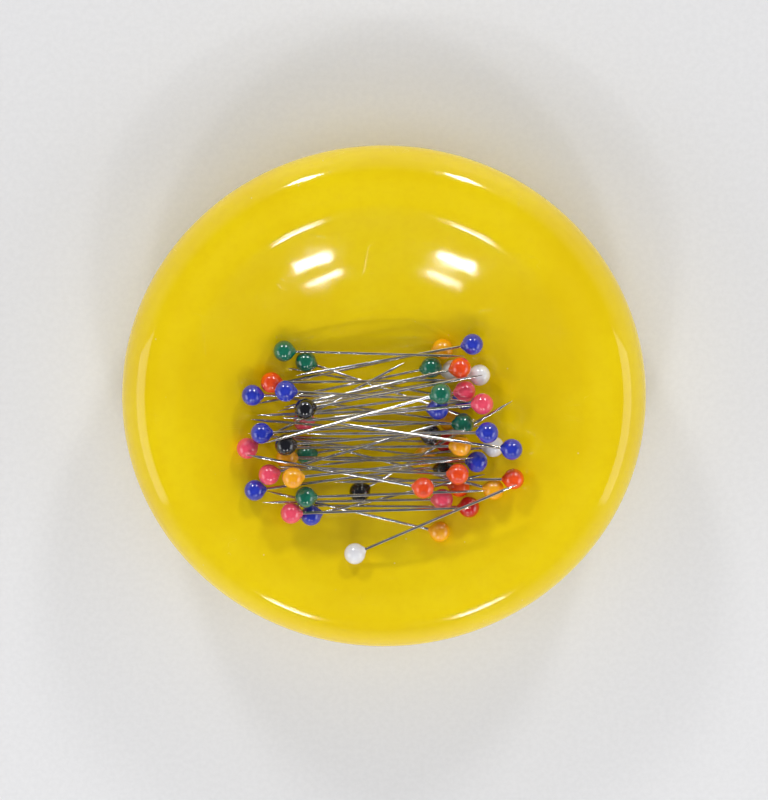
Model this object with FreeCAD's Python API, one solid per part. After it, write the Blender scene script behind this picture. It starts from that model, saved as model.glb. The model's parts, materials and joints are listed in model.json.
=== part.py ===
import FreeCAD, Part
import math
import os

# Magnetic pin cushion: an oval moulded dish with magnets hidden under its bowl,
# and a loose heap of fifty ball-head pins held left to right by the magnets.
# Millimetres, the dish lies face up on its feet, +Z up, +X across the long way.

# ---- driving dimensions ------------------------------------------------------
DISH_LENGTH = 108.0          # widest contour, along X
DISH_WIDTH = 105.0           # widest contour, along Y
DISH_HEIGHT = 25.0           # feet to crest of the rim
OVAL = DISH_WIDTH / DISH_LENGTH
WALL = 2.2                   # moulded wall
BOWL_DEPTH = 10.5            # crest of the rim down to the middle of the bowl
BOWL_RADIUS = 91.0           # curvature of the bowl
CREST_X = 45.4               # crest of the rim from the middle, along X
SKIRT_RADIUS = 28.0          # the side below the widest contour, curving in
FOOT_DROP = 1.2              # how far the feet stand below the cover
SNAP_GAP = 0.1               # between the cover's edge and the skirt

COVER_THICK = 2.2
FOOT_DIAMETER = 10.0
FOOT_RECESS = 0.8
FOOT_OFFSET = 26.0           # of each foot from the middle, along X and along Y
FOAM = (58.0, 40.0, 1.5)
KEEPER = (62.0, 44.0, 1.2)
MAGNET = (26.0, 40.0, 5.0)
MAGNET_OFFSET = 15.5         # middle of each magnet from the middle of the dish
FENCE_WALL = 1.6             # locating fence round magnets and keeper
FENCE_GAP = 0.3
PAD_DIAMETER = 6.0           # bosses that press on the magnets
RIB_WALL = 1.4               # ribs inside the skirt, stops for the cover
RIB_COUNT = 12

HEAD_RADIUS = 2.2
NECK_X = 2.45                # where the head ends, round the shank
NECK_RADIUS = 0.45
SHANK_RADIUS = 0.3
SHANK_SEAT = 1.2             # how far past the middle of the head the wire reaches
PIN_REACH = 36.8             # middle of the head to the point
POINT_LENGTH = 3.0
POINT_RADIUS = 0.04
AIR = 0.15                   # kept between pins lying on one another
BALANCE = 11.2               # centre of mass of a pin, from the middle of its head
SLIDE = 0.9                  # how far a pin may slide to find a lower place
SWING = 3.0                  # how far it may swing, in degrees
STEPS = 74                   # places tried for support along a pin
TILT_COST = 10.0             # how a pin weighs its slope against a lower place, in mm
SLIDE_COST = 0.25            # and a slide, in mm for each mm
SWING_COST = 0.06            # and a swing, in mm for each degree

# ---- heights that follow -----------------------------------------------------
BOWL_Z = DISH_HEIGHT - BOWL_DEPTH
CREST_RADIUS = (CREST_X ** 2 + BOWL_DEPTH ** 2) / (2 * BOWL_DEPTH) - BOWL_RADIUS
EDGE_RADIUS = DISH_LENGTH / 2 - CREST_X
WIDEST_Z = DISH_HEIGHT - EDGE_RADIUS
COVER_TOP = FOOT_DROP + COVER_THICK
FOAM_TOP = COVER_TOP + FOAM[2]
KEEPER_TOP = FOAM_TOP + KEEPER[2]
MAGNET_TOP = KEEPER_TOP + MAGNET[2]

# ---- the heap, where each pin is dropped -------------------------------------
# colour of the head, middle of the head (x, y), heading of the point in degrees
PINS = [
    ("white", -6.0, -31.0, 28.5),
    ("pink", -28.0, -9.0, 29.0),
    ("yellow", 11.5, -27.5, 167.0),
    ("red", 17.5, -21.5, 180.0),
    ("pink", 12.0, -19.5, 178.0),
    ("green", 17.0, -3.5, 178.0),
    ("blue", 19.0, -11.5, 179.0),
    ("yellow", 16.5, -8.0, 181.0),
    ("yellow", -20.0, -11.0, 0.0),
    ("pink", -19.0, -22.0, 2.0),
    ("green", -16.0, -18.5, 2.0),
    ("blue", 21.0, -4.5, 178.0),
    ("orange", -23.0, 4.5, 1.0),
    ("green", -19.5, 10.0, 2.0),
    ("blue", 18.0, 12.5, 190.5),
    ("pink", -23.5, -15.0, 20.5),
    ("blue", -15.0, -23.0, 13.5),
    ("orange", 16.0, -13.5, 178.0),
    ("pink", 20.0, 1.0, 185.0),
    ("pink", 16.5, 3.0, 188.0),
    ("orange", 15.5, 9.0, 193.0),
    ("white", 19.5, 6.0, 190.0),
    ("black", -20.0, -7.5, 5.0),
    ("blue", -25.0, -4.5, 4.0),
    ("green", -16.0, 8.5, -16.0),
    ("blue", -20.0, 2.5, -3.0),
    ("green", 11.5, 3.5, 193.0),
    ("black", -5.0, -18.5, 32.0),
    ("green", -16.0, -10.0, 7.0),
    ("blue", 11.0, -0.5, 182.0),
    ("black", 9.5, -6.0, 175.0),
    ("yellow", -18.5, -14.0, 3.0),
    ("blue", -26.5, -18.5, 11.0),
    ("orange", 26.5, -15.0, 184.0),
    ("orange", 15.5, -17.5, 173.0),
    ("yellow", 22.5, -17.5, 165.0),
    ("white", 22.5, -9.0, 186.0),
    ("green", 10.5, 7.5, 192.0),
    ("blue", 26.0, -7.5, 167.0),
    ("black", 12.5, -14.0, 177.0),
    ("black", -16.0, 0.0, 14.0),
    ("white", 14.0, 6.5, 193.0),
    ("yellow", 12.0, 11.0, 192.0),
    ("red", 13.5, -8.5, 178.0),
    ("pink", -16.5, -4.0, 8.0),
    ("yellow", 13.5, -4.0, 172.0),
    ("yellow", 8.5, -11.5, 172.0),
    ("orange", 8.0, -17.0, 170.0),
    ("blue", -26.0, 2.0, 0.0),
    ("blue", 16.5, 0.5, 170.0),
]


def bowl_height(x, y):
    """Surface of the bowl above the floor."""
    across = x * x + (y / OVAL) ** 2
    return BOWL_Z + BOWL_RADIUS - math.sqrt(BOWL_RADIUS ** 2 - across)


def along(pin, s):
    """Point of a pin's axis, s from the middle of the head, seen from above."""
    return pin["x"] + s * pin["cos"], pin["y"] + s * pin["sin"]


def nearest(pin, x, y):
    """Distance from above to a pin's axis and the height of the axis there."""
    s = (x - pin["x"]) * pin["cos"] + (y - pin["y"]) * pin["sin"]
    s = min(max(s, 0.0), PIN_REACH)
    px, py = along(pin, s)
    return math.hypot(x - px, y - py), pin["z"] + s * pin["rise"]


def over(reach, distance, below):
    """Height that clears a round thing passed over at a distance from above."""
    if distance >= reach:
        return 0.0
    return below + math.sqrt(reach ** 2 - distance ** 2)


def supports(pin, laid):
    """Lowest heights allowed along a new pin, as pairs of place and height."""
    ball_ball = 2 * HEAD_RADIUS + AIR
    ball_wire = HEAD_RADIUS + SHANK_RADIUS + AIR
    wire_wire = 2 * SHANK_RADIUS + AIR
    slope = math.hypot(pin["x"], pin["y"]) / BOWL_RADIUS
    seat = bowl_height(pin["x"], pin["y"]) + (HEAD_RADIUS + AIR) * math.hypot(1, slope)
    for other in laid:
        away, below = nearest(other, pin["x"], pin["y"])
        seat = max(seat, over(ball_wire, away, below))
        away = math.hypot(other["x"] - pin["x"], other["y"] - pin["y"])
        seat = max(seat, over(ball_ball, away, other["z"]))
    found = [(0.0, seat)]
    for step in range(1, STEPS + 1):
        s = PIN_REACH * step / STEPS
        x, y = along(pin, s)
        height = bowl_height(x, y) + SHANK_RADIUS + AIR
        for other in laid:
            away, below = nearest(other, x, y)
            if away < wire_wire:
                height = max(height, over(wire_wire, away, below))
            away = math.hypot(other["x"] - x, other["y"] - y)
            if away < ball_wire:
                height = max(height, over(ball_wire, away, other["z"]))
        found.append((s, height))
    return found


def rest(pin, laid):
    """Let a pin down until something holds it on each side of its balance."""
    found = supports(pin, laid)
    pin["low"] = 0.0
    for s0, h0 in [f for f in found if f[0] <= BALANCE]:
        for s1, h1 in [f for f in found if f[0] > BALANCE]:
            rise = (h1 - h0) / (s1 - s0)
            low = h0 + rise * (BALANCE - s0)
            if low > pin["low"]:
                pin["low"] = low
                pin["rise"] = rise
    pin["z"] = pin["low"] - pin["rise"] * BALANCE


def drop(x, y, heading, laid):
    """A pin let down with its head over a place, and how well it lies there."""
    turn = math.radians(heading)
    pin = {"x": x, "y": y, "heading": heading, "cos": math.cos(turn), "sin": math.sin(turn)}
    rest(pin, laid)
    pin["cost"] = pin["low"] + TILT_COST * abs(pin["rise"])
    return pin


def lay_heap():
    """The pin that would lie lowest and most level is always laid next, and it finds
    the best place near where it is dropped."""
    waiting, laid = list(PINS), []
    while waiting:
        chosen = min(waiting, key=lambda row: drop(*row[1:], laid)["cost"])
        waiting.remove(chosen)
        colour, x, y, heading = chosen
        best = None
        for swing in (-SWING, 0, SWING):
            for slide_x in (-SLIDE, 0, SLIDE):
                for slide_y in (-SLIDE, 0, SLIDE):
                    pin = drop(x + slide_x, y + slide_y, heading + swing, laid)
                    pin["cost"] += SLIDE_COST * (abs(slide_x) + abs(slide_y))
                    pin["cost"] += SWING_COST * abs(swing)
                    if best is None or pin["cost"] < best["cost"]:
                        best = pin
        best["colour"] = colour
        laid.append(best)
    return laid


def vec(x, z):
    return FreeCAD.Vector(x, 0, z)


def revolve(edges, axis=FreeCAD.Vector(0, 0, 1)):
    face = Part.Face(Part.Wire(edges))
    return face.revolve(FreeCAD.Vector(0, 0, 0), axis, 360)


def line(a, b):
    return Part.makeLine(a, b)


def arc(centre, radius, start, end):
    """Arc in the XZ plane, angles in degrees from +X towards +Z."""
    spots = []
    for angle in (start, (start + end) / 2, end):
        turn = math.radians(angle)
        spots.append(centre + vec(radius * math.cos(turn), radius * math.sin(turn)))
    return Part.Arc(*spots).toShape(), spots[0], spots[2]


def dish_profile(depth):
    """Bowl, crest, rolled edge and skirt as four arcs, set in by a depth."""
    lean = math.degrees(math.asin(CREST_X / (BOWL_RADIUS + CREST_RADIUS)))
    tuck = math.degrees(math.asin((WIDEST_Z - FOOT_DROP) / (SKIRT_RADIUS - depth)))
    middle = vec(0, BOWL_Z + BOWL_RADIUS)
    crest = vec(CREST_X, DISH_HEIGHT - CREST_RADIUS)
    edge = vec(CREST_X, WIDEST_Z)
    skirt = vec(DISH_LENGTH / 2 - SKIRT_RADIUS, WIDEST_Z)
    return [
        arc(middle, BOWL_RADIUS + depth, -90, -90 + lean),
        arc(crest, CREST_RADIUS - depth, 90 + lean, 90),
        arc(edge, EDGE_RADIUS - depth, 90, 0),
        arc(skirt, SKIRT_RADIUS - depth, 0, -tuck),
    ]


def oval(shape):
    """A round solid drawn in along Y to the true width of the dish."""
    squeeze = FreeCAD.Matrix()
    squeeze.scale(1, OVAL, 1)
    return shape.transformGeometry(squeeze)


def block(size, x, y, bottom):
    corner = FreeCAD.Vector(x - size[0] / 2, y - size[1] / 2, bottom)
    return Part.makeBox(size[0], size[1], size[2], corner)


def post(diameter, height, x, y, bottom):
    return Part.makeCylinder(diameter / 2, height, FreeCAD.Vector(x, y, bottom))


def filled_dish(depth):
    """The dish as one solid lump, its outside set in by a depth."""
    arcs = dish_profile(depth)
    top = arcs[0][1]
    low = arcs[3][2]
    edges = [a[0] for a in arcs]
    edges.append(line(low, vec(0, low.z)))
    edges.append(line(vec(0, low.z), top))
    return revolve(edges)


def make_dish_shell():
    """One thin moulding with fence, pressing bosses and skirt ribs inside."""
    inside = filled_dish(WALL)
    shell = filled_dish(0).cut(inside)
    fence_size = (KEEPER[0] + 2 * FENCE_GAP, (KEEPER[1] + 2 * FENCE_GAP) / OVAL)
    outer = (fence_size[0] + 2 * FENCE_WALL, fence_size[1] + 2 * FENCE_WALL)
    tall = DISH_HEIGHT - FOAM_TOP
    fence = block((outer[0], outer[1], tall), 0, 0, FOAM_TOP)
    fence = fence.cut(block((fence_size[0], fence_size[1], tall), 0, 0, FOAM_TOP))
    added = [fence]
    for x in (-MAGNET_OFFSET, MAGNET_OFFSET):
        for y in (-12.0, 12.0):
            added.append(post(PAD_DIAMETER, tall, x, y / OVAL, MAGNET_TOP))
    for number in range(RIB_COUNT):
        rib = block((6.0, RIB_WALL, DISH_HEIGHT), DISH_LENGTH / 2 - 7.0, 0, COVER_TOP)
        rib.rotate(FreeCAD.Vector(0, 0, 0), FreeCAD.Vector(0, 0, 1),
                   360.0 * (number + 0.5) / RIB_COUNT)
        added.append(rib)
    # everything inside is trimmed to half way through the wall, then joined
    limit = filled_dish(WALL / 2)
    joined = shell.fuse([piece.common(limit) for piece in added])
    return oval(joined.removeSplitter())


def make_base_cover():
    """Flat cover that snaps into the skirt, with shallow seats for the feet."""
    cover = filled_dish(WALL + SNAP_GAP)
    cover = cover.common(Part.makeCylinder(DISH_LENGTH, COVER_TOP))
    cover = oval(cover)
    for x in (-FOOT_OFFSET, FOOT_OFFSET):
        for y in (-FOOT_OFFSET, FOOT_OFFSET):
            seat = post(FOOT_DIAMETER, FOOT_DROP + FOOT_RECESS, x, y, 0)
            cover = cover.cut(seat)
    return cover


def make_rubber_feet():
    feet = []
    for x in (-FOOT_OFFSET, FOOT_OFFSET):
        for y in (-FOOT_OFFSET, FOOT_OFFSET):
            foot = post(FOOT_DIAMETER, FOOT_DROP + FOOT_RECESS, x, y, 0)
            rim = [e for e in foot.Edges if abs(e.BoundBox.ZMax) < 0.01]
            feet.append(foot.makeChamfer(0.4, rim))
    return Part.makeCompound(feet)


def make_pin(pin):
    """Ball head drawn out to a short neck, moulded on a pointed steel wire."""
    wire = [(-SHANK_SEAT, 0), (-SHANK_SEAT, SHANK_RADIUS),
            (PIN_REACH - POINT_LENGTH, SHANK_RADIUS),
            (PIN_REACH, POINT_RADIUS), (PIN_REACH, 0)]
    spots = [vec(x, z) for x, z in wire + wire[:1]]
    along_x = FreeCAD.Vector(1, 0, 0)
    shank = revolve([line(a, b) for a, b in zip(spots, spots[1:])], along_x)
    # the neck leaves the ball where a straight side is tangent to it
    reach = math.hypot(NECK_X, NECK_RADIUS)
    meet = math.atan2(NECK_RADIUS, NECK_X) + math.acos(HEAD_RADIUS / reach)
    ball, start, end = arc(vec(0, 0), HEAD_RADIUS, 180, math.degrees(meet))
    mouth = vec(NECK_X, NECK_RADIUS)
    base = vec(NECK_X, 0)
    head = revolve([ball, line(end, mouth), line(mouth, base), line(base, start)], along_x)
    head = head.cut(shank)
    both = Part.makeCompound([head, shank])
    tilt = -math.degrees(math.atan(pin["rise"]))
    both.rotate(FreeCAD.Vector(0, 0, 0), FreeCAD.Vector(0, 1, 0), tilt)
    both.rotate(FreeCAD.Vector(0, 0, 0), FreeCAD.Vector(0, 0, 1), pin["heading"])
    both.translate(FreeCAD.Vector(pin["x"], pin["y"], pin["z"]))
    return both


os.makedirs("parts", exist_ok=True)
make_dish_shell().exportStep("parts/dish_shell.step")
make_base_cover().exportStep("parts/base_cover.step")
make_rubber_feet().exportStep("parts/rubber_feet.step")
block(FOAM, 0, 0, COVER_TOP).exportStep("parts/foam_pad.step")
block(KEEPER, 0, 0, FOAM_TOP).exportStep("parts/keeper_plate.step")
block(MAGNET, -MAGNET_OFFSET, 0, KEEPER_TOP).exportStep("parts/magnet_left.step")
block(MAGNET, MAGNET_OFFSET, 0, KEEPER_TOP).exportStep("parts/magnet_right.step")
for number, pin in enumerate(lay_heap(), 1):
    make_pin(pin).exportStep("parts/pin_%02d.step" % number)
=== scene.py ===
import json
import math
import random

import bpy
import numpy as np
from mathutils import Matrix, Vector


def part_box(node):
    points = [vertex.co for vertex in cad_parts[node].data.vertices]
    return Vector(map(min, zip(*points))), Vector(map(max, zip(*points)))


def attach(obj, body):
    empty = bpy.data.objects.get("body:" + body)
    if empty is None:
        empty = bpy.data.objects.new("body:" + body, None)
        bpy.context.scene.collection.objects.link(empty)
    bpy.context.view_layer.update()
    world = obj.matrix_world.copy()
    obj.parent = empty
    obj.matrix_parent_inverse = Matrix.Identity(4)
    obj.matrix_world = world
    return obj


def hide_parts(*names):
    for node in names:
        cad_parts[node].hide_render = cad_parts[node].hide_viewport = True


# The looks of a magnetic pin cushion: a glossy oval dish and fifty ball-head pins.
# Metres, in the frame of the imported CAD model.

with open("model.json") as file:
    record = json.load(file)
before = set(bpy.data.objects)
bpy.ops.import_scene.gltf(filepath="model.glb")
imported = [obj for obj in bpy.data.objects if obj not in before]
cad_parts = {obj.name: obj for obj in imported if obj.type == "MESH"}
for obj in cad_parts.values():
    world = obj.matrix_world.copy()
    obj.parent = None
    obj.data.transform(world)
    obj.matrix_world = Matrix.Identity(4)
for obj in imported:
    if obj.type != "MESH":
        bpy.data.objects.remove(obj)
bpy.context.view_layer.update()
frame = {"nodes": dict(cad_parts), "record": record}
MM = 0.001

# ---- the dish, as the CAD draws it -------------------------------------------
DISH_LOW, DISH_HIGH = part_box("dish_shell")
LENGTH = DISH_HIGH.x - DISH_LOW.x
OVAL = (DISH_HIGH.y - DISH_LOW.y) / LENGTH
FOOT_Z = DISH_LOW.z
CREST_Z = DISH_HIGH.z
BOWL_DEPTH = 10.5 * MM
BOWL_RADIUS = 91.0 * MM
CREST_X = 45.4 * MM
SKIRT_RADIUS = 28.0 * MM
WALL = 2.2 * MM
BOWL_Z = CREST_Z - BOWL_DEPTH
CREST_RADIUS = (CREST_X ** 2 + BOWL_DEPTH ** 2) / (2 * BOWL_DEPTH) - BOWL_RADIUS
EDGE_RADIUS = LENGTH / 2 - CREST_X
WIDEST_Z = CREST_Z - EDGE_RADIUS
DISH_SEGMENTS = 256
LIP_ROUND = 0.3 * MM
PARTING_LINE = (0.04 * MM, 0.16 * MM)  # half its width where it stands full, and where it ends
PARTING_HEIGHT = 0.03 * MM
FOAM_CORNER = 1.5 * MM
FOAM_BULGE = 0.5 * MM

# ---- a pin, along its own axis from the middle of its head --------------------
HEAD_RADIUS = 2.2 * MM
NECK_END = 2.45 * MM
NECK_RADIUS = 0.45 * MM
SHANK_RADIUS = 0.3 * MM
SHANK_SEAT = 1.2 * MM
POINT_LENGTH = 3.0 * MM
POINT_RADIUS = 0.04 * MM
POINT_SPREAD = 0.02 * MM             # corners this near the farthest one make the CAD's point
NECK_HOLLOW = 0.07 * MM              # how far the neck's side is drawn in
MOUTH_ROUND = 0.1 * MM               # round the wire, where the head ends
GRIND_BLEND = 0.4 * MM               # before the point, where the grinding starts
GRIND_EASE = 0.012 * MM              # taken off the edge there
GRIND_SPREAD = 0.5 * MM
HEAD_SEGMENTS = 48
SHANK_SEGMENTS = 20

# ---- view and light ----------------------------------------------------------
CAMERA_TILT = math.radians(11.5)     # off +Z, towards +Y
CAMERA_DISTANCE = 0.545
CAMERA_LENS = 119.0                  # millimetres, as Blender has them
CAMERA_SENSOR = 36.0
LIGHT_DISTANCE = 0.9
FLOOR_SIZE = 8.0
FADE_START = 0.4                     # from the middle, where the floor starts to fade
FADE_END = 1.1
TARGET = Vector((0.0, 0.0, 0.0165))

random.seed(11)


# ---- meshes ------------------------------------------------------------------
def put(name, data):
    """A new object in the scene that shows this mesh, light or camera."""
    thing = bpy.data.objects.new(name, data)
    bpy.context.scene.collection.objects.link(thing)
    return thing


def arc(centre, radius, start, end, steps):
    """Points (across, up) on an arc, angles in degrees, its first point left out."""
    points = []
    for step in range(1, steps + 1):
        angle = math.radians(start + (end - start) * step / steps)
        points.append((centre[0] + radius * math.cos(angle),
                       centre[1] + radius * math.sin(angle)))
    return points


def turned(name, profile, segments):
    """A closed turned mesh: profile is (distance from axis, height), from axis to axis.
    Its UV map holds the turn, 0 to 1, and the way along the profile in metres."""
    verts, rings, way = [], [], [0.0]
    for (r0, z0), (r1, z1) in zip(profile, profile[1:]):
        way.append(way[-1] + math.hypot(r1 - r0, z1 - z0))
    for radius, height in profile:
        count = segments if radius > 1e-7 else 1
        rings.append([len(verts) + k for k in range(count)])
        for k in range(count):
            turn = 2 * math.pi * k / segments
            verts.append((radius * math.cos(turn), radius * math.sin(turn), height))
    faces, uvs = [], []
    for i, (a, b) in enumerate(zip(rings, rings[1:])):
        for k in range(segments):
            n = (k + 1) % segments
            corner = [(a, k, k, i), (a, n, k + 1, i), (b, n, k + 1, i + 1), (b, k, k, i + 1)]
            if len(a) == 1:
                corner = [corner[0], corner[2], corner[3]]
            elif len(b) == 1:
                corner = corner[:3]
            faces.append([ring[v if len(ring) > 1 else 0] for ring, v, _, _ in corner])
            uvs += [(turn / segments, way[step]) for _, _, turn, step in corner]
    mesh = bpy.data.meshes.new(name)
    mesh.from_pydata(verts, [], faces)
    layer = mesh.uv_layers.new(name="turn")
    layer.data.foreach_set("uv", [value for uv in uvs for value in uv])
    mesh.polygons.foreach_set("use_smooth", [True] * len(faces))
    mesh.update()
    return put(name, mesh)


def dish_line(depth, steps):
    """The bowl, crest, rolled edge and skirt, set in by a depth, from the middle out."""
    lean = math.degrees(math.asin(CREST_X / (BOWL_RADIUS + CREST_RADIUS)))
    tuck = math.degrees(math.asin((WIDEST_Z - FOOT_Z) / (SKIRT_RADIUS - depth)))
    points = [(0.0, BOWL_Z - depth)]
    points += arc((0, BOWL_Z + BOWL_RADIUS), BOWL_RADIUS + depth, -90, -90 + lean, steps[0])
    points += arc((CREST_X, CREST_Z - CREST_RADIUS), CREST_RADIUS - depth,
                  90 + lean, 90, steps[1])
    points += arc((CREST_X, WIDEST_Z), EDGE_RADIUS - depth, 90, 0, steps[2])
    points += arc((LENGTH / 2 - SKIRT_RADIUS, WIDEST_Z), SKIRT_RADIUS - depth,
                  0, -tuck, steps[3])
    return points


def make_dish():
    outside = dish_line(0.0, (48, 14, 28, 20))
    inside = dish_line(WALL, (24, 8, 14, 10))
    foot = outside.pop()
    lean_in = Vector((outside[-1][0] - foot[0], outside[-1][1] - foot[1])).normalized()
    lip = []
    for step in range(5):
        share = step / 4
        lip.append((foot[0] + lean_in.x * LIP_ROUND * (1 - share) ** 2 - LIP_ROUND * share ** 2,
                    foot[1] + lean_in.y * LIP_ROUND * (1 - share) ** 2))
    while outside[-1][1] < lip[0][1]:
        outside.pop()
    profile = outside + lip + inside[::-1]
    piece = turned("dish_body", profile[::-1], DISH_SEGMENTS)
    piece.data.transform(Matrix.Diagonal((1, OVAL, 1, 1)))
    return piece


def head_line(size):
    """A ball drawn out to a short neck, with a softly rounded mouth."""
    radius = HEAD_RADIUS * size
    meet = math.degrees(math.atan2(NECK_RADIUS, NECK_END)
                        + math.acos(radius / math.hypot(NECK_END, NECK_RADIUS)))
    points = [(0.0, -radius)]
    points += [(across, up) for up, across in arc((0, 0), radius, 180, meet, 30)]
    start = points[-1]
    for step in range(1, 7):
        share = step / 7
        hollow = NECK_HOLLOW * math.sin(math.pi * share)
        points.append((start[0] + (NECK_RADIUS - start[0]) * share - hollow,
                       start[1] + (NECK_END - start[1]) * share))
    for angle in (0, 30, 60, 90):
        turn = math.radians(angle)
        points.append((NECK_RADIUS - MOUTH_ROUND * (1 - math.cos(turn)),
                       NECK_END - MOUTH_ROUND * (1 - math.sin(turn))))
    inner, floor = 0.9 * SHANK_RADIUS, NECK_END - MOUTH_ROUND
    return points + [(inner, NECK_END), (inner, floor), (0.0, floor)]


def shank_line(reach):
    """Drawn wire ground to a point, blended where the grinding starts."""
    points = [(0.0, -SHANK_SEAT), (SHANK_RADIUS, -SHANK_SEAT)]
    body = reach - POINT_LENGTH
    points += [(SHANK_RADIUS, -SHANK_SEAT + (body + SHANK_SEAT - GRIND_BLEND) * k / 12)
               for k in range(1, 13)]
    for step in range(1, 9):
        height = body - GRIND_BLEND + (POINT_LENGTH + GRIND_BLEND) * step / 8
        cone = SHANK_RADIUS - (SHANK_RADIUS - POINT_RADIUS) * max(0.0, height - body) / POINT_LENGTH
        ease = GRIND_EASE * math.exp(-((height - body) / GRIND_SPREAD) ** 2)
        points.append((cone - ease, height))
    points.append((0.0, reach))
    return points


def pressed_slab(name, low, high, corner, bulge):
    """A cut sheet of foam held between two plates: round corners, sides bulging out
    half way up to the box it is given."""
    half = Vector((high.x - low.x, high.y - low.y)) / 2
    layers, per_corner = 9, 7
    count = 4 * per_corner
    verts, faces = [], []
    for layer in range(layers):
        share = layer / (layers - 1)
        inset = bulge * (1 - math.sin(math.pi * share))
        for quarter in range(4):
            sign_x, sign_y = (1, -1, -1, 1)[quarter], (1, 1, -1, -1)[quarter]
            for step in range(per_corner):
                turn = math.radians(90 * (quarter + step / (per_corner - 1)))
                verts.append((sign_x * (half.x - corner) + (corner - inset) * math.cos(turn),
                              sign_y * (half.y - corner) + (corner - inset) * math.sin(turn),
                              low.z + (high.z - low.z) * share))
    for layer in range(layers - 1):
        for k in range(count):
            n = (k + 1) % count
            faces.append([layer * count + k, layer * count + n,
                          (layer + 1) * count + n, (layer + 1) * count + k])
    faces += [list(range(count))[::-1], [(layers - 1) * count + k for k in range(count)]]
    mesh = bpy.data.meshes.new(name)
    mesh.from_pydata(verts, [], faces)
    mesh.polygons.foreach_set("use_smooth", [len(face) == 4 for face in faces])
    mesh.update()
    return put(name, mesh)


def pin_axis(node):
    """Middle of the head, direction of the point, and reach, read from a pin's CAD mesh."""
    data = frame["nodes"][node].data
    spots = np.empty(len(data.vertices) * 3, np.float32)
    data.vertices.foreach_get("co", spots)
    spots = spots.reshape(-1, 3).astype(float)
    tip = spots[np.argmax(np.linalg.norm(spots - spots.mean(0), axis=1))]
    pole = spots[np.argmax(np.linalg.norm(spots - tip, axis=1))]
    far = np.linalg.norm(spots - pole, axis=1)
    tip = spots[far > far.max() - POINT_SPREAD].mean(0)
    direction = Vector(tip - pole)
    reach = direction.length - HEAD_RADIUS
    direction.normalize()
    return Vector(pole) + direction * HEAD_RADIUS, direction, reach


# ---- materials ---------------------------------------------------------------
class Paint:
    """A Principled material and short ways to add nodes to it."""

    def __init__(self, name, colour, roughness, **constant):
        self.material = bpy.data.materials.new(name)
        self.material.use_nodes = True
        self.nodes = self.material.node_tree.nodes
        self.links = self.material.node_tree.links
        self.shader = self.nodes["Principled BSDF"]
        self.shader.inputs["Base Color"].default_value = (*colour, 1)
        self.shader.inputs["Roughness"].default_value = roughness
        for key, value in constant.items():
            self.shader.inputs[key.replace("_", " ")].default_value = value
        self.material.diffuse_color = (*colour, 1)
        place = self.nodes.new("ShaderNodeTexCoord")
        self.place = place.outputs["Object"]
        self.turn = place.outputs["UV"]

    def feed(self, socket, value):
        if isinstance(value, bpy.types.NodeSocket):
            self.links.new(value, socket)
        elif isinstance(value, tuple) and len(value) == 3 and socket.type == "RGBA":
            socket.default_value = (*value, 1)
        else:
            socket.default_value = value

    def add(self, kind, out, **inputs):
        node = self.nodes.new(kind)
        for key, value in inputs.items():
            self.feed(node.inputs[key.replace("_", " ")], value)
        return node.outputs[out]

    def stretched(self, source, scale):
        return self.add("ShaderNodeMapping", "Vector", Vector=source, Scale=scale)

    def noise(self, scale, detail=2.0, rough=0.5, source=None, warp=0.0):
        return self.add("ShaderNodeTexNoise", "Fac", Vector=source or self.place, Scale=scale,
                        Detail=detail, Roughness=rough, Distortion=warp)

    def spots(self, scale, out="Distance"):
        return self.add("ShaderNodeTexVoronoi", out, Vector=self.place, Scale=scale)

    def span(self, value, low, high, to_low=0.0, to_high=1.0):
        node = self.nodes.new("ShaderNodeMapRange")
        node.interpolation_type = "SMOOTHSTEP"
        for key, number in (("Value", value), ("From Min", low), ("From Max", high),
                            ("To Min", to_low), ("To Max", to_high)):
            self.feed(node.inputs[key], number)
        return node.outputs["Result"]

    def math(self, what, first, second=0.0):
        node = self.nodes.new("ShaderNodeMath")
        node.operation = what
        for socket, value in zip(node.inputs, (first, second)):
            self.feed(socket, value)
        return node.outputs[0]

    def mix(self, share, first, second):
        node = self.nodes.new("ShaderNodeMix")
        node.data_type = "RGBA"
        for socket, value in ((node.inputs[0], share), (node.inputs[6], first),
                              (node.inputs[7], second)):
            self.feed(socket, value)
        return node.outputs[2]

    def height_of(self, source):
        node = self.nodes.new("ShaderNodeSeparateXYZ")
        self.feed(node.inputs[0], source)
        return node.outputs["Z"]

    def bump(self, height, distance, normal=None):
        node = self.nodes.new("ShaderNodeBump")
        self.feed(node.inputs["Height"], height)
        node.inputs["Distance"].default_value = distance
        node.inputs["Strength"].default_value = 1.0
        if normal is not None:
            self.feed(node.inputs["Normal"], normal)
        return node.outputs["Normal"]

    def finish(self, colour=None, roughness=None, normal=None):
        for key, value in (("Base Color", colour), ("Roughness", roughness), ("Normal", normal)):
            if value is not None:
                self.feed(self.shader.inputs[key], value)
        return self.material


def hairlines(paint, stretch, width):
    """1 on thin wandering lines drawn out along one axis, 0 between them."""
    wander = paint.noise(1.0, 1.0, 0.4, source=paint.stretched(paint.place, stretch))
    away = paint.math("ABSOLUTE", paint.math("SUBTRACT", wander, 0.5))
    return paint.span(away, 0.0, width, 1.0, 0.0)


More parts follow.
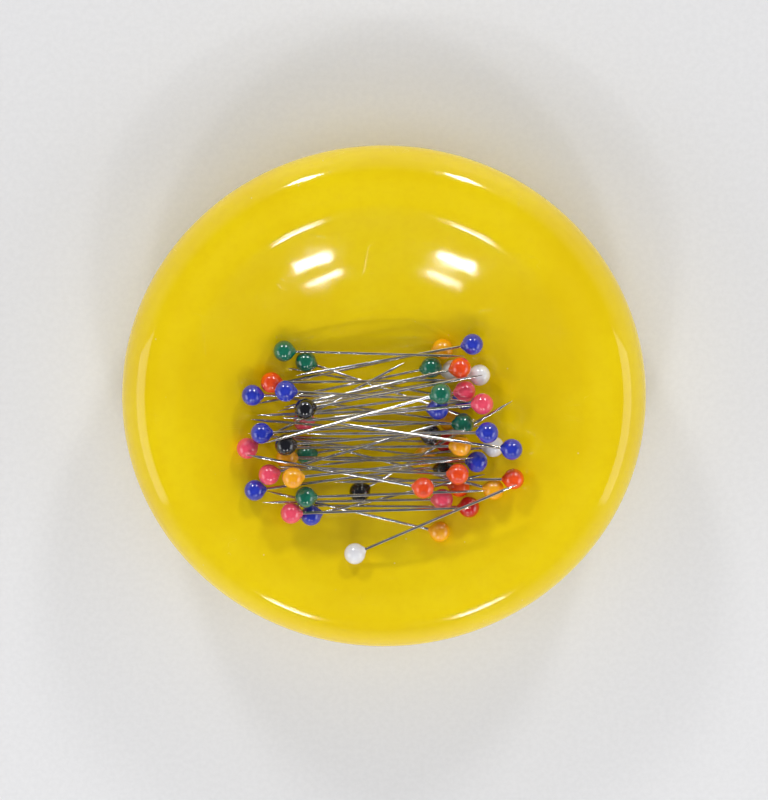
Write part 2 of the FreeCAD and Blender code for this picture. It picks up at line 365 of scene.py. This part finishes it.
def yellow_plastic():
    paint = Paint("yellow_moulded_plastic", (0.80, 0.585, 0.003), 0.16, IOR=1.47)
    cloud = paint.noise(38.0, 3.0, 0.55)
    colour = paint.mix(paint.span(cloud, 0.3, 0.7), (0.77, 0.545, 0.002), (0.82, 0.61, 0.003))
    mottle = paint.noise(520.0, 2.0, 0.6)
    colour = paint.mix(paint.span(mottle, 0.35, 0.75, 0.0, 0.22), colour, (0.72, 0.48, 0.002))
    # dust: a few small pale specks
    picked = paint.span(paint.spots(420.0, "Color"), 0.80, 0.84)
    dust = paint.math("MULTIPLY", paint.span(paint.spots(420.0), 0.04, 0.09, 1.0, 0.0), picked)
    colour = paint.mix(paint.math("MULTIPLY", dust, 0.35), colour, (0.80, 0.74, 0.55))
    # hair scratches left by pins, in scattered patches
    scratch = paint.math("MAXIMUM", hairlines(paint, (28.0, 330.0, 90.0), 0.004),
                         hairlines(paint, (190.0, 36.0, 60.0), 0.003))
    patch = paint.span(paint.noise(150.0, 2.0), 0.52, 0.66)
    scratch = paint.math("MULTIPLY", scratch, patch)
    haze = paint.span(paint.noise(160.0, 4.0, 0.6), 0.3, 0.75, 0.06, 0.12)
    roughness = paint.math("ADD", haze, paint.math("MULTIPLY", scratch, 0.22))
    roughness = paint.math("ADD", roughness, paint.math("MULTIPLY", dust, 0.4))
    normal = paint.bump(paint.noise(210.0, 1.0, 0.4), 0.00002)
    normal = paint.bump(paint.noise(1500.0, 2.0, 0.5), 0.000002, normal=normal)
    normal = paint.bump(paint.math("MULTIPLY", scratch, -1.0), 0.000008, normal=normal)
    # the parting line of the mould, along the widest contour
    line = paint.math("ABSOLUTE", paint.math("SUBTRACT", paint.height_of(paint.place), WIDEST_Z))
    normal = paint.bump(paint.span(line, *PARTING_LINE, 1.0, 0.0), PARTING_HEIGHT, normal=normal)
    return paint.finish(colour, roughness, normal)


def head_plastic(name, colour, dark):
    paint = Paint(name, colour, 0.12, IOR=1.5, Coat_Weight=1.0, Coat_Roughness=0.03)
    swirl = paint.span(paint.noise(330.0, 3.0, 0.55, warp=1.2), 0.35, 0.75)
    tint = paint.mix(swirl, colour, dark)
    grime = paint.span(paint.noise(1400.0, 3.0, 0.7), 0.62, 0.75, 0.0, 0.25)
    tint = paint.mix(grime, tint, tuple(0.75 * part for part in dark))
    roughness = paint.span(paint.noise(700.0, 3.0), 0.3, 0.75, 0.06, 0.14)
    normal = paint.bump(paint.noise(480.0, 1.0), 0.00005)
    normal = paint.bump(paint.noise(3200.0, 2.0), 0.000003, normal=normal)
    return paint.finish(tint, roughness, normal)


def pin_steel():
    paint = Paint("plated_pin_wire", (0.74, 0.72, 0.69), 0.22, Metallic=1.0)
    drawn = paint.noise(1.0, 3.0, 0.6, source=paint.stretched(paint.turn, (30.0, 70.0, 1.0)))
    patch = paint.noise(260.0, 3.0, 0.6)
    colour = paint.mix(paint.span(patch, 0.35, 0.75), (0.80, 0.785, 0.75), (0.56, 0.53, 0.49))
    roughness = paint.span(drawn, 0.3, 0.75, 0.08, 0.22)
    normal = paint.bump(drawn, 0.0000006)
    return paint.finish(colour, roughness, normal)


def cover_plastic():
    paint = Paint("fine_grained_cover_plastic", (0.70, 0.50, 0.008), 0.5, IOR=1.47)
    grain = paint.noise(5200.0, 3.0, 0.7)
    cloud = paint.noise(60.0, 3.0, 0.5)
    colour = paint.mix(paint.span(cloud, 0.3, 0.7), (0.67, 0.465, 0.006), (0.73, 0.53, 0.010))
    scuff = paint.math("MULTIPLY", hairlines(paint, (60.0, 210.0, 60.0), 0.006),
                       paint.span(paint.noise(45.0), 0.45, 0.6))
    colour = paint.mix(paint.math("MULTIPLY", scuff, 0.3), colour, (0.80, 0.68, 0.30))
    roughness = paint.span(grain, 0.3, 0.7, 0.40, 0.58)
    normal = paint.bump(grain, 0.00002)
    normal = paint.bump(paint.math("MULTIPLY", scuff, -1.0), 0.00001, normal=normal)
    return paint.finish(colour, roughness, normal)


def rubber():
    paint = Paint("black_rubber", (0.03, 0.03, 0.031), 0.75, IOR=1.5)
    grain = paint.noise(3800.0, 4.0, 0.7)
    dust = paint.span(paint.noise(420.0, 4.0, 0.6), 0.5, 0.8, 0.0, 0.5)
    colour = paint.mix(dust, (0.022, 0.022, 0.023), (0.10, 0.098, 0.092))
    roughness = paint.span(grain, 0.3, 0.7, 0.62, 0.86)
    return paint.finish(colour, roughness, paint.bump(grain, 0.00003))


def foam():
    paint = Paint("grey_foam", (0.25, 0.25, 0.26), 0.9)
    cells = paint.spots(1500.0)
    colour = paint.mix(paint.span(cells, 0.1, 0.6), (0.13, 0.13, 0.14), (0.33, 0.33, 0.34))
    roughness = paint.span(cells, 0.1, 0.6, 0.95, 0.82)
    return paint.finish(colour, roughness, paint.bump(cells, 0.0004))


def keeper_steel():
    paint = Paint("zinc_plated_steel", (0.55, 0.55, 0.56), 0.35, Metallic=1.0)
    spangle = paint.spots(420.0, "Color")
    grey = paint.span(spangle, 0.0, 1.0)
    colour = paint.mix(grey, (0.47, 0.48, 0.50), (0.62, 0.62, 0.62))
    brushed = paint.noise(1.0, 3.0, 0.6, source=paint.stretched(paint.place, (90.0, 5200.0, 90.0)))
    roughness = paint.span(brushed, 0.3, 0.7, 0.26, 0.44)
    return paint.finish(colour, roughness, paint.bump(brushed, 0.00001))


def ferrite():
    paint = Paint("ground_ferrite", (0.05, 0.05, 0.055), 0.55, IOR=1.9)
    grain = paint.noise(2600.0, 5.0, 0.75)
    ground = paint.noise(1.0, 3.0, 0.6, source=paint.stretched(paint.place, (4200.0, 110.0, 110.0)))
    colour = paint.mix(paint.span(grain, 0.35, 0.7), (0.035, 0.035, 0.038), (0.085, 0.084, 0.088))
    roughness = paint.span(ground, 0.3, 0.7, 0.42, 0.66)
    normal = paint.bump(ground, 0.00001)
    return paint.finish(colour, roughness, paint.bump(grain, 0.00002, normal=normal))


def floor_paper():
    paint = Paint("pale_floor", (0.74, 0.74, 0.75), 0.6)
    fibre = paint.noise(900.0, 4.0, 0.6)
    colour = paint.mix(paint.span(fibre, 0.3, 0.7), (0.73, 0.73, 0.742), (0.76, 0.76, 0.772))
    # far out the paper fades into the pale room
    away = paint.nodes.new("ShaderNodeVectorMath")
    away.operation = "LENGTH"
    paint.feed(away.inputs[0], paint.place)
    there = paint.span(away.outputs["Value"], FADE_START, FADE_END, 1.0, 0.0)
    paint.feed(paint.shader.inputs["Alpha"], there)
    return paint.finish(colour, None, paint.bump(fibre, 0.00001))


HEADS = {
    "head_green": ((0.004, 0.150, 0.085), (0.002, 0.105, 0.062)),
    "head_orange": ((0.860, 0.075, 0.006), (0.700, 0.048, 0.004)),
    "head_blue": ((0.020, 0.040, 0.480), (0.012, 0.026, 0.350)),
    "head_black": ((0.006, 0.006, 0.010), (0.003, 0.003, 0.006)),
    "head_pink": ((0.830, 0.075, 0.140), (0.700, 0.050, 0.105)),
    "head_yellow": ((0.900, 0.400, 0.004), (0.820, 0.300, 0.003)),
    "head_white": ((0.800, 0.800, 0.820), (0.700, 0.700, 0.730)),
    "head_red": ((0.560, 0.008, 0.012), (0.420, 0.005, 0.009)),
}


# ---- the object --------------------------------------------------------------
def dress_node(name, material):
    frame["nodes"][name].material_slots[0].material = material


dish = make_dish()
dish.data.materials.append(yellow_plastic())
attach(dish, "dish")
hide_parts("dish_shell")

foam_sheet = pressed_slab("foam_sheet", *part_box("foam_pad"), FOAM_CORNER, FOAM_BULGE)
foam_sheet.data.materials.append(foam())
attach(foam_sheet, "dish")
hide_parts("foam_pad")

dress_node("base_cover", cover_plastic())
dress_node("rubber_feet", rubber())
dress_node("keeper_plate", keeper_steel())
magnet_black = ferrite()
dress_node("magnet_left", magnet_black)
dress_node("magnet_right", magnet_black)

steel = pin_steel()
head_paint = {slot: head_plastic(slot + "_gloss", *pair) for slot, pair in HEADS.items()}
node_slot = {part["node"]: part["material_slot"] for part in frame["record"]["subparts"]}
body_of = {node: body for body, members in frame["record"]["behaviour"]["bodies"].items()
           for node in members}
for node in sorted(name for name in frame["nodes"] if name.startswith("pin_")):
    middle, direction, reach = pin_axis(node)
    place = Matrix.Translation(middle) @ direction.to_track_quat("Z", "Y").to_matrix().to_4x4()
    place = place @ Matrix.Rotation(random.uniform(0, 2 * math.pi), 4, "Z")
    head = turned(node + "_head", head_line(random.uniform(0.985, 1.0)), HEAD_SEGMENTS)
    shank = turned(node + "_shank", shank_line(reach), SHANK_SEGMENTS)
    for piece, paint, slot in ((head, head_paint[node_slot[node]], node_slot[node]),
                               (shank, steel, "plated_steel")):
        piece.data.transform(place)
        piece.data.materials.append(paint)
        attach(piece, body_of[node])
        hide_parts(node)


# ---- floor, light and camera -------------------------------------------------
def make_floor():
    mesh = bpy.data.meshes.new("floor")
    half = FLOOR_SIZE / 2
    mesh.from_pydata([(-half, -half, 0), (half, -half, 0), (half, half, 0), (-half, half, 0)],
                     [], [(0, 1, 2, 3)])
    mesh.materials.append(floor_paper())
    put("floor", mesh)


RIGHT = Vector((1, 0, 0))
BACK = Vector((0, math.sin(CAMERA_TILT), math.cos(CAMERA_TILT)))
UP = BACK.cross(RIGHT)


def softbox(name, raised, aside, size, power, roll=0.0, mirrored=True):
    """An area light aimed at the dish, placed by its angles off the line of sight.
    Degrees, metres and watts; one that isn't mirrored gives light but no glare."""
    up, side = math.radians(raised), math.radians(aside)
    towards = (RIGHT * math.sin(side) + UP * math.cos(side) * math.sin(up)
               + BACK * math.cos(side) * math.cos(up))
    light = bpy.data.lights.new(name, "AREA")
    light.shape = "RECTANGLE"
    light.size, light.size_y = size
    light.energy = power
    holder = put(name, light)
    holder.location = TARGET + towards * LIGHT_DISTANCE
    holder.rotation_mode = "QUATERNION"
    across = UP.cross(towards).normalized()
    above = towards.cross(across)
    facing = Matrix((across, above, towards)).transposed() @ Matrix.Rotation(math.radians(roll), 3, "Z")
    holder.rotation_quaternion = facing.to_quaternion()
    holder.visible_camera = False
    holder.visible_glossy = mirrored


def make_world():
    """A soft room: bright round the horizon, dimmer overhead."""
    world = bpy.data.worlds.new("room")
    bpy.context.scene.world = world
    world.use_nodes = True
    nodes, links = world.node_tree.nodes, world.node_tree.links
    place = nodes.new("ShaderNodeTexCoord")
    split = nodes.new("ShaderNodeSeparateXYZ")
    ramp = nodes.new("ShaderNodeValToRGB")
    links.new(place.outputs["Generated"], split.inputs[0])
    links.new(split.outputs["Z"], ramp.inputs["Fac"])
    links.new(ramp.outputs["Color"], nodes["Background"].inputs["Color"])
    ramp.color_ramp.elements[0].position = 0.18
    ramp.color_ramp.elements[0].color = (0.80, 0.80, 0.81, 1)
    ramp.color_ramp.elements[1].position = 0.60
    ramp.color_ramp.elements[1].color = (0.12, 0.12, 0.125, 1)
    nodes["Background"].inputs["Strength"].default_value = 0.9


make_floor()
make_world()
for side, name in ((-1, "left"), (1, "right")):
    softbox("key_" + name, 54, 20 * side, (0.115, 0.13), 2.1)
    softbox("strip_" + name, -60, 14 * side, (0.115, 0.036), 0.72, roll=38 * side)
    softbox("narrow_strip_" + name, -54.8, 11.8 * side, (0.11, 0.013), 0.24, roll=38 * side)
    softbox("side_" + name, -40, 60 * side, (0.38, 0.6), 1.5)
softbox("bounce", -62, 0, (1.4, 0.6), 2.8, mirrored=False)
softbox("fill", -8, 0, (0.8, 0.8), 1.9, mirrored=False)


camera = put("camera", bpy.data.cameras.new("camera"))
camera.data.sensor_width = CAMERA_SENSOR
camera.data.lens = CAMERA_LENS
camera.matrix_world = Matrix((
    (RIGHT.x, UP.x, BACK.x, (TARGET + BACK * CAMERA_DISTANCE).x),
    (RIGHT.y, UP.y, BACK.y, (TARGET + BACK * CAMERA_DISTANCE).y),
    (RIGHT.z, UP.z, BACK.z, (TARGET + BACK * CAMERA_DISTANCE).z),
    (0, 0, 0, 1)))
bpy.context.scene.camera = camera
bpy.context.scene.view_settings.view_transform = "Standard"
